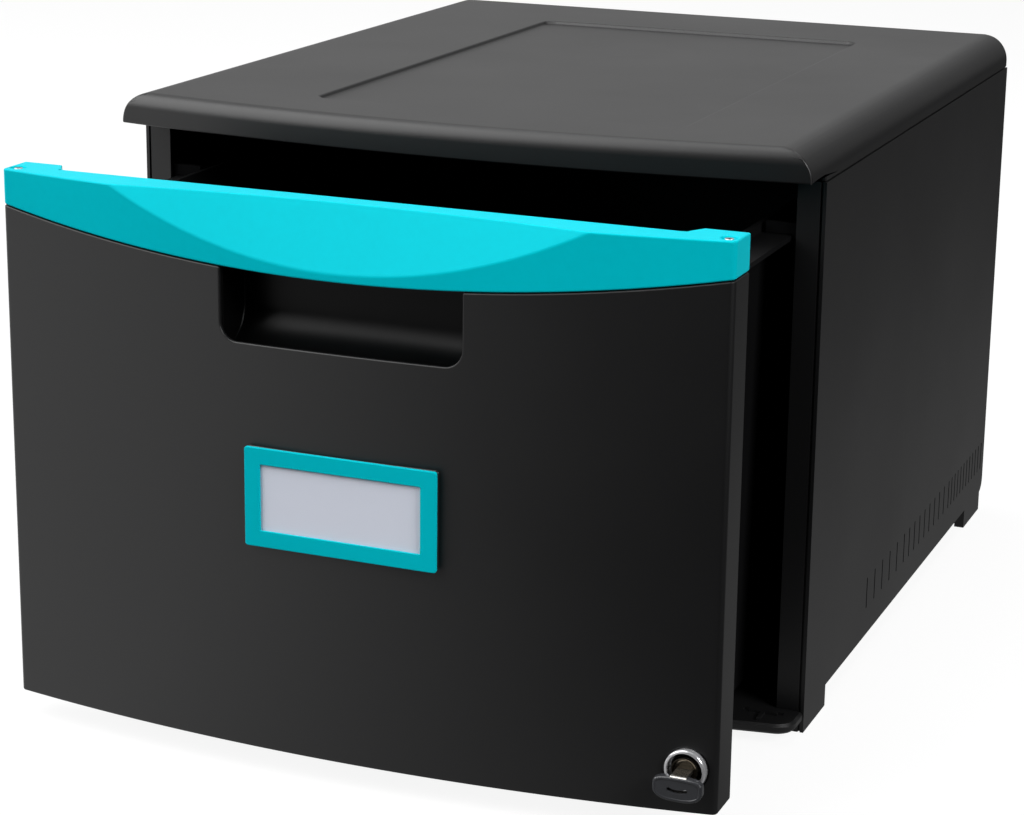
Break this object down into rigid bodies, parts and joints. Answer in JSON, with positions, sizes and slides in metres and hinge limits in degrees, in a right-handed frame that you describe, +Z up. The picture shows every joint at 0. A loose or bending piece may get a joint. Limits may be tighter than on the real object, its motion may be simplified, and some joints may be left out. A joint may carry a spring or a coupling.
{
  "type": "file box with a drawer",
  "caption": "Plastic file cabinet with a pull-out hanging-folder drawer, trim with a finger pull, label holder, and cam lock with a folding key, drawn with its drawer part open.",
  "frame": {"origin": "on the floor, under the middle of the space the box takes up with its drawer open as drawn", "axes": "+X to the right as seen from the front, +Y from the drawer front to the back, +Z up"},
  "size_m": [0.3826, 0.5728, 0.3109],
  "materials": {
    "black_plastic": "moulded, fine grain, soft sheen",
    "runner_plastic": "moulded, smooth",
    "teal_plastic": "moulded, satin",
    "card": "plain paper card",
    "screw_steel": "zinc plated",
    "chrome": "polished",
    "plug_brass": "cast, dull",
    "key_steel": "nickel plated",
    "key_plastic": "smoked, slightly see-through"
  },
  "bodies": {
    "cabinet": {"top_cover": "black_plastic", "left_side_panel": "black_plastic", "right_side_panel": "black_plastic", "floor_panel": "black_plastic", "back_panel": "black_plastic", "left_runner": "runner_plastic", "right_runner": "runner_plastic", "cover_screws": "screw_steel", "floor_screws": "screw_steel", "back_screws": "screw_steel", "runner_screws": "screw_steel"},
    "drawer": {"drawer_tub": "black_plastic", "drawer_front": "black_plastic", "front_trim": "teal_plastic", "label_frame": "teal_plastic", "label_card": "card", "front_screws": "screw_steel", "trim_screws": "screw_steel", "lock_housing": "chrome", "lock_nut": "screw_steel"},
    "lock_cylinder": {"lock_plug": "plug_brass", "lock_cam": "screw_steel", "cam_screw": "screw_steel"},
    "key": {"key_blade": "key_steel", "key_pin": "key_steel"},
    "key_head": {"key_head": "key_plastic"}
  },
  "joints": [
    {"name": "drawer_slide", "type": "slide", "parent": "cabinet", "child": "drawer", "axis": [0, -1, 0], "range_m": [-0.12, 0.20995]},
    {"name": "lock_turn", "type": "hinge", "parent": "drawer", "child": "lock_cylinder", "pos_m": [0.1755, -0.27166, 0.0355], "axis": [0, -1, 0], "range_deg": [0, 90]},
    {"name": "key_pull", "type": "slide", "parent": "lock_cylinder", "child": "key", "axis": [0, -1, 0], "range_m": [0, 0.022]},
    {"name": "key_fold", "type": "hinge", "parent": "key", "child": "key_head", "pos_m": [0.1755, -0.27916, 0.0346], "axis": [-1, 0, 0], "range_deg": [-12, 90]}
  ]
}
